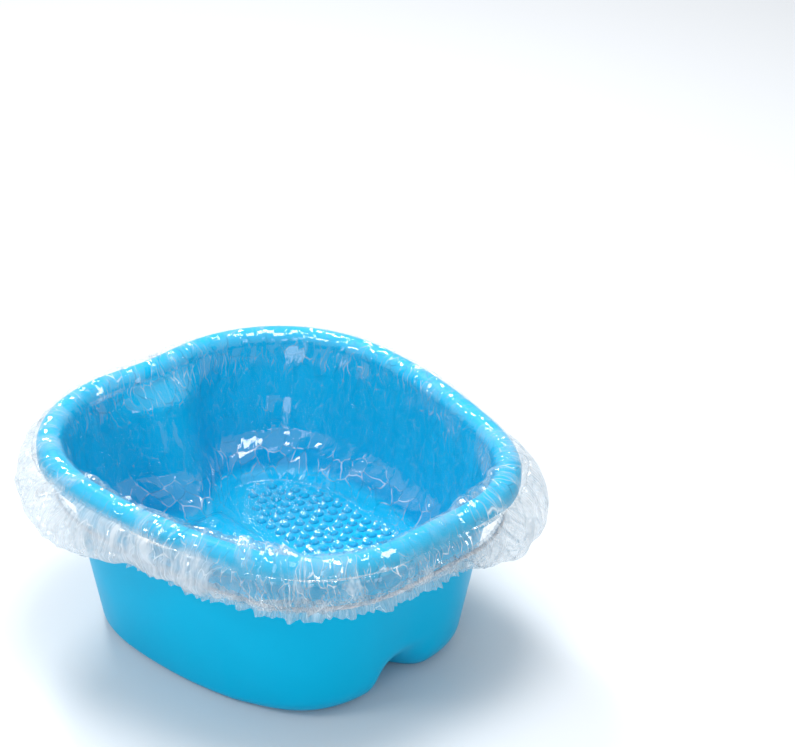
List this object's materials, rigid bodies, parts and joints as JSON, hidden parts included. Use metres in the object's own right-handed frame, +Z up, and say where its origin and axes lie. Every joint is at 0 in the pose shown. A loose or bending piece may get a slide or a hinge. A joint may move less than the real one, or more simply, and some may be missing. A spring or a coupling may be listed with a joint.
{
  "type": "foot bath basin",
  "caption": "Plastic foot bath basin with a rolled rim, twin nubbed footbeds and a clear disposable film liner held under the rim by an elastic hem.",
  "frame": {"origin": "on the floor, under the middle of the rim's length and width", "axes": "+Z up out of the basin; +X along its length, towards the narrower end with the groove between the two lobes; the part is symmetric about the XZ plane"},
  "size_m": [0.4042, 0.365, 0.1842],
  "materials": {
    "blue_plastic": "smooth moulded polypropylene, satin gloss, cyan blue",
    "clear_film": "thin clear polyethylene film, creased, glossy",
    "elastic": "thin off-white elastic, matt"
  },
  "bodies": {
    "root": {"basin": "blue_plastic", "liner_bag": "clear_film", "liner_skirt": "clear_film", "liner_frill": "clear_film", "elastic_band": "elastic"}
  },
  "joints": []
}
